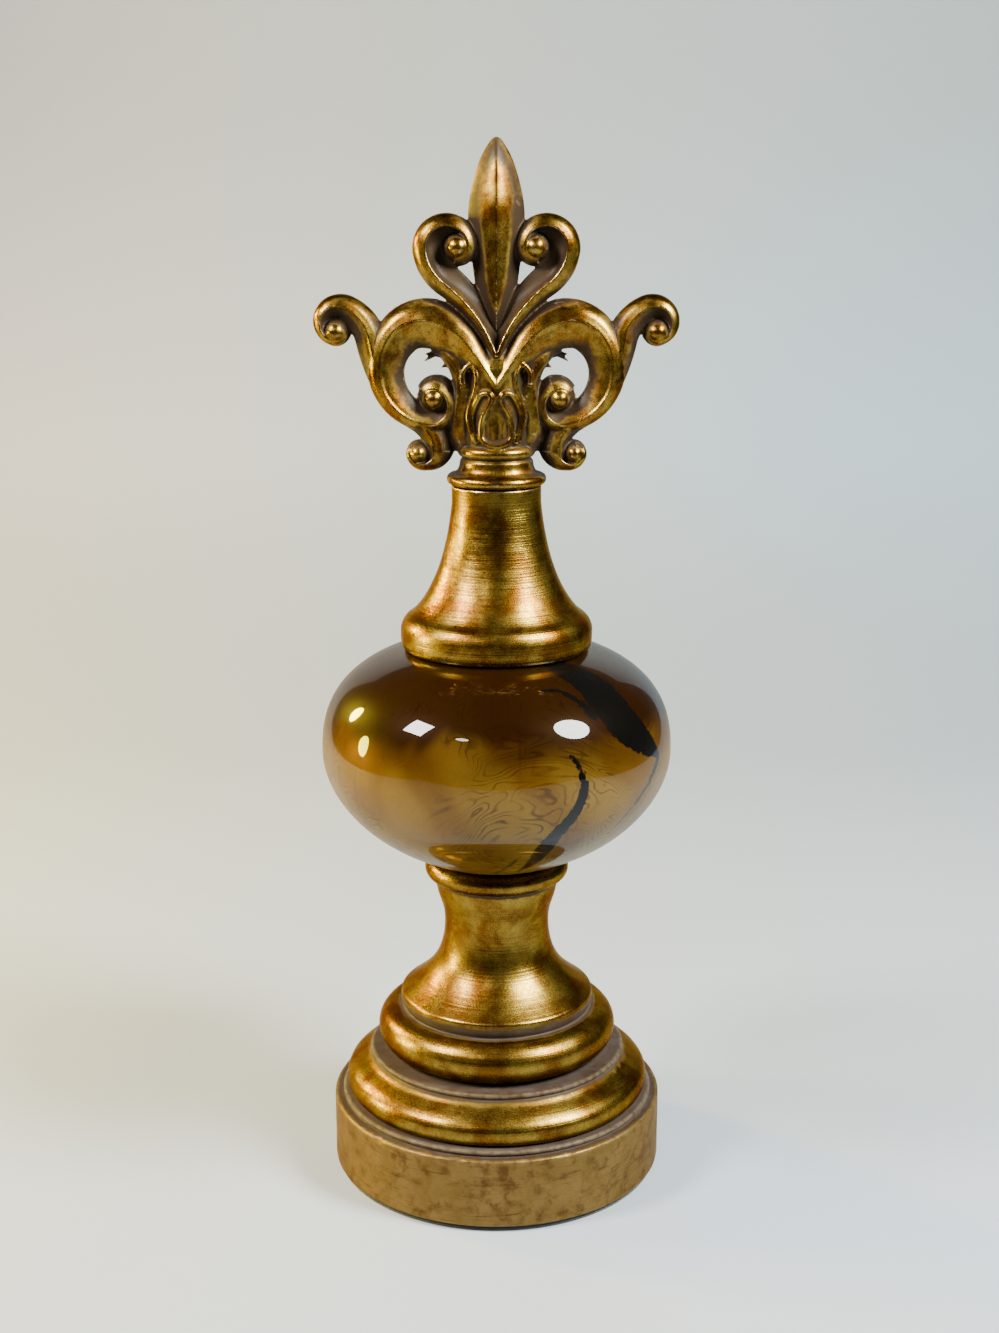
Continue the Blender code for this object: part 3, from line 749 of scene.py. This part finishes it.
def makePedestal():
    profile = softened(pedestalProfile(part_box("pedestal")[0].z / mm), pedestal["spacing"], 1)
    bm = turned(profile, pedestal["sides"])
    for azimuth, height, size, depth in drumKnocks:
        knock(bm, azimuth, height, pedestal["drumRadius"], size, depth)
    handWork(bm, pedestal["waveSize"], pedestal["waveDepth"])
    item = finished("pedestal.cast", bm)
    fitInside(item, "pedestal")
    addWearAndShadeMasks(item, alongOnly=True, bands=pedestal["dustBands"])
    ride(item, "pedestal", goldMaterial("pedestalGold", pedestalLook))


# Ball

ball = {
    "radius": 60.0, "lowerHalf": 42.5, "upperHalf": 38.3, "footRadius": 21.5, "topRadius": 31.2,
    "lowerPower": 1.86, "upperPower": 2.5, "sides": 320, "steps": 150,
}

# Black swirl under the glaze: azimuth (right positive), height above the equator in mm, half width in mm
inkStrokes = (
    ((32, 37.0, 3.0), (40, 34, 5.2), (45, 30, 7.2), (46, 25, 8.2), (48, 20, 8.0), (52, 15, 6.2), (58, 9.5, 3.6),
     (63, 4.5, 1.2), (60, 0, 0.9), (55, -5, 0.9), (50, -10.5, 0.7), (46, -16, 0.5), (40, -23, 0.3)),
    ((22.5, 14.0, 0.5), (25.4, 9.9, 0.9), (27.7, 4.2, 1.4), (27.0, -2.0, 1.8), (24.7, -7.5, 2.2),
     (21.1, -12.4, 2.4), (18.4, -18.0, 3.1), (16.5, -23.5, 2.8), (14.6, -28.1, 1.6), (11, -33, 0.5)),
    ((20, 30.5, 0.5), (27, 30, 0.9), (33, 27, 1.3), (36, 23, 1.8)),
    ((9, -23, 0.2), (6.5, -27, 0.5), (3, -31, 0.6), (-1, -34, 0.3)),
    ((-150, 33, 0.8), (-158, 24, 1.9), (-149, 12, 1.5), (-155, -2, 1.1), (-166, -14, 0.8), (-161, -27, 0.3)),
    ((118, 30, 0.6), (127, 20, 1.5), (121, 9, 1.2), (129, -6, 0.7), (124, -20, 0.3)),
)


def ballHeight(radius, half, power):
    return half * (1 - min(radius / ball["radius"], 1.0) ** power) ** (1 / power)


def ballHalf(rise):
    return (ball["upperHalf"], ball["upperPower"]) if rise > 0 else (ball["lowerHalf"], ball["lowerPower"])


def ballPoint(azimuth, rise):
    half, power = ballHalf(rise)
    radius = ball["radius"] * (1 - (abs(rise) / half) ** power) ** (1 / power)
    angle = math.radians(azimuth)
    return Vector((radius * math.sin(angle), -radius * math.cos(angle), rise))


def inkDepth(place, strokes):
    # how far inside the nearest stroke a place is, in mm, negative outside
    deepest = -20.0
    for stroke in strokes:
        for (first, firstHalf), (second, secondHalf) in zip(stroke, stroke[1:]):
            along = second - first
            share = min(max((place - first).dot(along) / along.length_squared, 0), 1)
            half = firstHalf + (secondHalf - firstHalf) * share
            deepest = max(deepest, half - (place - first - along * share).length)
    return deepest


def makeBall():
    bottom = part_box("ball")[0].z / mm
    middle = bottom + ballHeight(ball["footRadius"], *ballHalf(-1))
    first = -math.degrees(math.acos(ball["footRadius"] / ball["radius"]))
    last = math.degrees(math.acos(ball["topRadius"] / ball["radius"]))
    profile = [(0, bottom)]
    for share, level in roundArc((0, 0), 1.0, first, last, ball["steps"]):
        radius = ball["radius"] * share
        profile.append((radius, middle + math.copysign(ballHeight(radius, *ballHalf(level)), level)))
    profile.append((0, profile[-1][1]))
    bm = turned(profile, ball["sides"])
    strokes = []
    for rows in inkStrokes:
        curve = smoothThrough([tuple(ballPoint(a, rise)) + (half,) for a, rise, half in rows], 6)
        strokes.append([(Vector(point[:3]), point[3]) for point in curve])
    depths = [inkDepth(vert.co - Vector((0, 0, middle)), strokes) for vert in bm.verts]
    item = finished("ball.glazed", bm)
    fitInside(item, "ball")
    addMask(item.data, "ink", np.array(depths) * 0.1 + 0.5)
    ride(item, "ball", glazeMaterial())


# Bell

bell = {
    "radius": 32.5, "rimHeight": 6.8, "shoulderRadius": 28.65, "shoulder": 5.5,
    "shoulderPulls": ((0.09, 0.5), (0.45, 0.8)), "flareHeight": 37.5, "flarePulls": ((0.513, 0.18), (0.872, 0.52)),
    "neckRadius": 15.0, "neckHeight": 5.5, "sides": 192, "spacing": 0.5, "waveSize": 8.0, "waveDepth": 0.14,
}


def makeBell():
    size = bell
    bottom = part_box("bell")[0].z / mm
    rim = bottom + size["rimHeight"]
    shoulder = rim + size["shoulder"]
    throat = shoulder + size["flareHeight"]
    bend = (size["shoulderRadius"], shoulder)
    profile = [(0, bottom)]
    rolled = (size["radius"], bottom + size["rimHeight"] * 0.6)
    profile += curveBetween((size["radius"] - 2.4, bottom), rolled, ((0.75, 0.0), (1.0, 0.4)), 10)
    profile += curveBetween((size["radius"], rim), bend, size["shoulderPulls"])
    profile += curveBetween(bend, (size["neckRadius"], throat), size["flarePulls"])[1:]
    profile += [(size["neckRadius"], throat + size["neckHeight"]), (0, throat + size["neckHeight"])]
    bm = turned(softened(profile, size["spacing"], 1), size["sides"])
    handWork(bm, size["waveSize"], size["waveDepth"])
    item = finished("bell.cast", bm)
    fitInside(item, "bell")
    addWearAndShadeMasks(item, alongOnly=True)
    ride(item, "bell", goldMaterial("bellGold", bellLook))


# Crown: the left half is drawn in mm, as x from the axis (negative) and z above the crown's seat, and mirrored

crown = {
    "voxel": 0.34, "quickVoxel": 0.7, "faces": 190000, "easeRounds": 2, "lowWashAndShade": 0.7,
    "stationTurn": 9.0, "stationRun": 1.6,
    "ridgeHalf": 0.45, "ridgeRise": 0.5, "eyeFloor": 2.4, "waveSize": 5.0, "waveDepth": 0.12,
}

crownStem = {
    "beadRadius": 16.7, "beadHeight": 3.8, "grooveRadius": 12.2, "coveHeight": 5.2,
    "upperBeadRadius": 13.0, "upperBeadHeight": 4.2, "radius": 11.3, "height": 34.0, "sides": 96,
    # shares of the height and the radius, up the stem
    "swell": ((0.0, 1.0), (0.3, 0.98), (0.55, 1.02), (0.75, 0.98), (0.92, 0.72), (1.0, 0.0)),
}

# Scrolls: start, heading, first widths, then arcs of radius, turn (left positive), outer flank, inner flank, crest
scrolls = {
    "top": {"start": (0.0, 42.6), "heading": 107.4, "first": (2.4, 2.6, 10.5), "hollow": 1.0,
            "arcs": ((43.7, 22.6, 3.6, 5.2, 8.6), (51.7, 13.3, 4.4, 6.2, 7.2), (-15.0, -46.8, 4.4, 5.8, 6.6),
                     (-7.0, -183.0, 3.4, 2.9, 6.6), (-3.7, -105.0, 2.2, 1.6, 5.6))},
    "main": {"start": (-0.2, 33.4), "heading": 122.9, "first": (3.0, 5.0, 12.4), "hollow": 0.0,
             "arcs": ((172.0, 5.3, 5.8, 7.2, 10.6), (21.3, 37.4, 7.0, 9.4, 8.4), (12.7, 64.2, 5.4, 9.2, 7.4),
                      (18.0, 121.2, 3.0, 5.2, 7.0), (6.1, 161.0, 4.6, 2.8, 7.2), (3.4, 85.0, 3.0, 1.4, 6.0))},
    "outer": {"start": (-26.0, 19.6), "heading": 140.0, "first": (2.0, 2.4, 4.4), "hollow": 0.0,
              "arcs": ((200.0, 1.0, 2.0, 2.8, 5.0), (-29.0, -27.8, 3.0, 3.8, 6.0), (-56.0, -14.8, 5.6, 4.8, 6.2),
                       (15.3, 51.2, 4.0, 5.0, 6.2), (5.8, 192.0, 1.8, 2.4, 6.0), (3.1, 95.0, 1.3, 1.3, 5.2))},
    "lower": {"start": (-32.4, 26.0), "heading": -40.2, "first": (2.0, 2.8, 4.6), "hollow": 0.0,
              "arcs": ((480.0, 1.3, 6.0, 3.2, 6.0), (-9.7, -51.8, 6.6, 3.4, 7.0), (-4.3, -72.0, 3.0, 2.6, 6.6),
                       (-4.3, -72.9, 1.5, 2.6, 6.4), (-3.1, -70.0, 0.8, 1.3, 5.6))},
}

# Eye of each scroll: ball radius, half depth and the radius of the sunk floor round it
eyes = {"top": (4.9, 8.2, 6.4), "main": (4.6, 8.6, 5.6), "outer": (4.6, 7.4, 4.9), "lower": (4.1, 7.8, 3.9)}

# Spear: height and half width from its tip down; the keel stays forward under the widest part
spear = {
    "rows": ((111.35, 0.4), (110.9, 1.3), (109.6, 2.4), (105.2, 5.0), (98.2, 7.4), (89.8, 9.1), (81.5, 9.0),
             (72.0, 7.9), (63.5, 6.6), (57.0, 4.4), (50.5, 1.4)),
    "widest": (89.8, 9.1), "depth": 0.9, "keel": 1.55, "keelFade": 0.35, "sides": 44,
}

# Side leaf: across, up, half width and half depth along its spine, then its ragged tips as from, to and radius
leafSpine = ((-9.4, 12.0, 4.6, 5.4), (-11.0, 20.0, 6.2, 6.6), (-9.8, 32.0, 4.6, 8.4), (-12.4, 39.0, 3.6, 7.4),
             (-16.8, 43.6, 2.8, 5.4), (-21.4, 43.8, 0.6, 2.6))

leafTips = (((-16.0, 43.0), (-23.4, 42.8), 2.1), ((-17.5, 43.0), (-20.8, 47.2), 1.8),
            ((-13.5, 40.5), (-18.2, 38.4), 1.9), ((-9.5, 33.5), (-14.6, 31.2), 1.7),
            ((-19.0, 43.6), (-23.6, 40.4), 1.2))

# Raised cords on the stem, left half of each, as across and up
outerCord = ((-7.2, 15.2), (-9.2, 23.5), (-6.8, 32.0), (-6.4, 37.0), (-8.4, 40.0), (-10.9, 37.4), (-11.0, 33.6))
innerCord = ((-6.3, 14.6), (-8.0, 22.6), (-5.8, 29.4), (-3.2, 31.0), (-1.7, 29.0), (-4.6, 22.6), (-4.6, 16.0),
             (0.0, 13.9))
cordRadius = 0.95


def blendRows(first, last, share):
    return tuple(a + (b - a) * share for a, b in zip(first, last))


def scrollStations(scroll):
    # places along the ridge line, with the widths there and how far the inner flank is hollowed
    x, z = scroll["start"]
    heading = math.radians(scroll["heading"])
    widths = scroll["first"] + (scroll["hollow"],)
    stations = [(x, z, heading, widths)]
    eye = None
    for radius, turn, *endWidths in scroll["arcs"]:
        hollow = 1.0 if abs(radius) < 8 else scroll["hollow"]
        endWidths = tuple(endWidths) + (hollow,)
        length = abs(radius * math.radians(turn))
        steps = max(math.ceil(abs(turn) / crown["stationTurn"]), math.ceil(length / crown["stationRun"]))
        eye = (x - radius * math.sin(heading), z + radius * math.cos(heading))
        for step in range(1, steps + 1):
            angle = heading + math.radians(turn) * step / steps
            place = (eye[0] + radius * math.sin(angle), eye[1] - radius * math.cos(angle))
            stations.append((*place, angle, blendRows(widths, endWidths, step / steps)))
        x, z = stations[-1][:2]
        heading += math.radians(turn)
        widths = endWidths
    return stations, eye


def scrollSection(outer, inner, crest, hollow):
    # front half from the outer edge over the ridge to the inner edge, as across and depth
    half = crown["ridgeHalf"]
    rise = crown["ridgeRise"]
    front = []
    for step in range(9):
        angle = math.radians(10 * step)
        front.append((half + (outer - half) * math.cos(angle), -(crest - rise) * math.sin(angle)))
    front += [(half * 0.6, -crest + rise * 0.2), (0.0, -crest), (-half * 0.6, -crest + rise * 0.3)]
    start = crest - rise * (1.2 + hollow)
    edge = crest * (0.44 - 0.16 * hollow)
    bend = 1.25 - 0.75 * hollow
    for step in range(7):
        share = step / 6
        front.append((-half - (inner - half) * share, -(start + (edge - start) * share ** bend)))
    front += [(-inner - 0.1, -edge * 0.5)]
    back = [(across, -depth) for across, depth in reversed(front)]
    return front + back[:-1]


def addRing(bm, middle, sideways, outline, depthAxis=Vector((0, 1, 0))):
    verts = [bm.verts.new(middle + sideways * across + depthAxis * depth) for across, depth in outline]
    return [bm.edges.new(pair) for pair in zip(verts, verts[1:] + verts[:1])]


def bridgeRings(bm, rings):
    for near, far in zip(rings, rings[1:]):
        bmesh.ops.bridge_loops(bm, edges=near + far)
    bmesh.ops.holes_fill(bm, edges=rings[0] + rings[-1], sides=0)
    bmesh.ops.recalc_face_normals(bm, faces=bm.faces)


def makeScroll(scroll, side):
    bm = bmesh.new()
    stations, eye = scrollStations(scroll)
    outerSide = 1.0 if scroll["arcs"][-1][1] < 0 else -1.0
    rings = []
    for x, z, heading, widths in stations:
        sideways = Vector((-math.sin(heading) * outerSide * side, 0, math.cos(heading) * outerSide))
        rings.append(addRing(bm, Vector((x * side, 0, z)), sideways, scrollSection(*widths)))
    bridgeRings(bm, rings)
    return bm, Vector((eye[0] * side, 0, eye[1]))


def roundSection(half, depth, sides=28, power=1.0):
    # power above 1 draws the front and back out to a soft keel
    outline = []
    for index in range(sides):
        angle = 2 * math.pi * index / sides
        across, forward = math.cos(angle), math.sin(angle)
        wide, deep = half * abs(across) ** power, depth * abs(forward) ** power
        outline.append((math.copysign(wide, across), math.copysign(deep, forward)))
    return outline


def makeSpear():
    bm = bmesh.new()
    rings = []
    level, most = spear["widest"]
    for height, half in smoothThrough(spear["rows"], 6):
        half = max(half, 0.3)
        deep = half if height > level else most * (half / most) ** spear["keelFade"]
        outline = roundSection(half, deep * spear["depth"], spear["sides"], spear["keel"])
        rings.append(addRing(bm, Vector((0, 0, height)), Vector((1, 0, 0)), outline))
    bridgeRings(bm, rings)
    return bm


def makeEye(middle, radius, halfDepth):
    bm = bmesh.new()
    bmesh.ops.create_uvsphere(bm, u_segments=28, v_segments=18, radius=1.0,
                              matrix=Matrix.Translation(middle) @ Matrix.Diagonal((radius, halfDepth, radius, 1)))
    return bm


def makeEyeFloor(middle, radius, halfDepth):
    bm = bmesh.new()
    upright = Matrix.Rotation(math.radians(90), 4, "X")
    bmesh.ops.create_cone(bm, cap_ends=True, segments=28, radius1=radius, radius2=radius, depth=halfDepth * 2,
                          matrix=Matrix.Translation(middle) @ upright)
    return bm


def makeLeaf(side):
    bm = bmesh.new()
    rows = smoothThrough(leafSpine, 5)
    rings = []
    for before, row, after in zip(rows[:1] + rows, rows, rows[1:] + rows[-1:]):
        along = Vector((after[0] - before[0], 0, after[1] - before[1])).normalized()
        sideways = Vector((-along.z * side, 0, along.x))
        middle = Vector((row[0] * side, 0, row[1]))
        rings.append(addRing(bm, middle, sideways, roundSection(max(row[2], 0.3), row[3], 16)))
    bridgeRings(bm, rings)
    return bm


def makeTip(foot, end, radius, side):
    bm = bmesh.new()
    start = Vector((foot[0] * side, 0, foot[1]))
    along = Vector((end[0] * side, 0, end[1])) - start
    turn = along.to_track_quat("Z", "Y").to_matrix().to_4x4()
    bmesh.ops.create_cone(bm, cap_ends=True, segments=12, radius1=radius, radius2=0.25, depth=along.length,
                          matrix=Matrix.Translation(start + along / 2) @ turn)
    bmesh.ops.scale(bm, vec=(1, 1.7, 1), verts=bm.verts)
    return bm


def makeCord(route, face):
    bm = bmesh.new()
    radius = crownStem["radius"]
    path = []
    for x, z in smoothThrough(route, 6):
        reach = math.sqrt(max(radius ** 2 - x ** 2, (radius * 0.72) ** 2))
        path.append(Vector((x, face * (reach + cordRadius * 0.5), z)))
    rings = []
    for before, point, after in zip(path[:1] + path, path, path[1:] + path[-1:]):
        along = (after - before).normalized()
        outward = Vector((point.x, point.y, 0)).normalized()
        sideways = along.cross(outward).normalized()
        outward = sideways.cross(along)
        rings.append(addRing(bm, point, sideways, roundSection(cordRadius, cordRadius, 10), outward))
    bridgeRings(bm, rings)
    return bm


def mirrored(route):
    return tuple((-x, z) for x, z in reversed(route))


def stemProfile():
    size = crownStem
    beadTop = size["beadHeight"]
    groove = beadTop + size["coveHeight"]
    foot = groove + size["upperBeadHeight"]
    points = [(0, 0)] + halfRound(size["beadRadius"], 0, size["beadHeight"])
    start = (size["beadRadius"] - 1.9, beadTop)
    points += curveBetween(start, (size["grooveRadius"], groove - 0.6), ((0.8, 0.05), (1.0, 0.5)), 10)
    points += [(size["upperBeadRadius"] - 2.4, groove - 0.2)]
    points += halfRound(size["upperBeadRadius"], groove, size["upperBeadHeight"])
    return points + [(size["radius"] * wide, foot + size["height"] * up) for up, wide in size["swell"]]


def crownParts():
    yield turned(softened(stemProfile(), 0.5, 1), crownStem["sides"])
    yield makeSpear()
    for side in (1, -1):
        for name, scroll in scrolls.items():
            bm, middle = makeScroll(scroll, side)
            yield bm
            radius, halfDepth, floor = eyes[name]
            yield makeEye(middle, radius, halfDepth)
            yield makeEyeFloor(middle, floor, crown["eyeFloor"])
        yield makeLeaf(side)
        for foot, end, radius in leafTips:
            yield makeTip(foot, end, radius, side)
    for face in (-1, 1):
        yield makeCord(innerCord + mirrored(innerCord)[1:], face)
        yield makeCord(outerCord, face)
        yield makeCord(mirrored(outerCord), face)


def joined(parts):
    whole = bmesh.new()
    for part in parts:
        mesh = bpy.data.meshes.new("part")
        part.to_mesh(mesh)
        part.free()
        whole.from_mesh(mesh)
        bpy.data.meshes.remove(mesh)
    return whole


def applied(item):
    # the mesh as its modifiers leave it
    seen = item.evaluated_get(bpy.context.evaluated_depsgraph_get())
    mesh = bpy.data.meshes.new_from_object(seen)
    item.modifiers.clear()
    old = item.data
    item.data = mesh
    bpy.data.meshes.remove(old)


def makeCrown():
    whole = joined(crownParts())
    bmesh.ops.translate(whole, vec=(0, 0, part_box("crown")[0].z / mm), verts=whole.verts)
    item = finished("crown.cast", whole)
    remesh = item.modifiers.new("fuse", "REMESH")
    remesh.mode = "VOXEL"
    remesh.voxel_size = crown["voxel"] * mm
    remesh.use_smooth_shade = True
    ease = item.modifiers.new("ease", "SMOOTH")
    ease.iterations = crown["easeRounds"]
    ease.factor = 0.5
    applied(item)
    print("crown fused:", len(item.data.polygons), "faces")
    triangles = len(item.data.polygons) * 2
    if triangles > crown["faces"]:
        thin = item.modifiers.new("thin", "DECIMATE")
        thin.ratio = crown["faces"] / triangles
        applied(item)
    bm = bmesh.new()
    bm.from_mesh(item.data)
    handWork(bm, crown["waveSize"] * mm, crown["waveDepth"] * mm)
    bm.to_mesh(item.data)
    bm.free()
    item.data.shade_smooth()
    fitInside(item, "crown")
    addWearAndShadeMasks(item, crown["lowWashAndShade"])
    ride(item, "crown", goldMaterial("crownGold", crownLook))


# Everything in order

makeCamera()
makeWorld()
for lightName in lights:
    makeLight(lightName)
makeRoom()
print("camera, lights and backdrop made")
grainGroup = makeGrain()
streakGroup = makeStreaks()
grimeAndShadeGroup = makeGrimeAndShade()
makeFelt()
print("felt pad made")
makePedestal()
print("pedestal made")
makeBall()
print("ball made")
makeBell()
print("bell made")
makeCrown()
print("crown made")
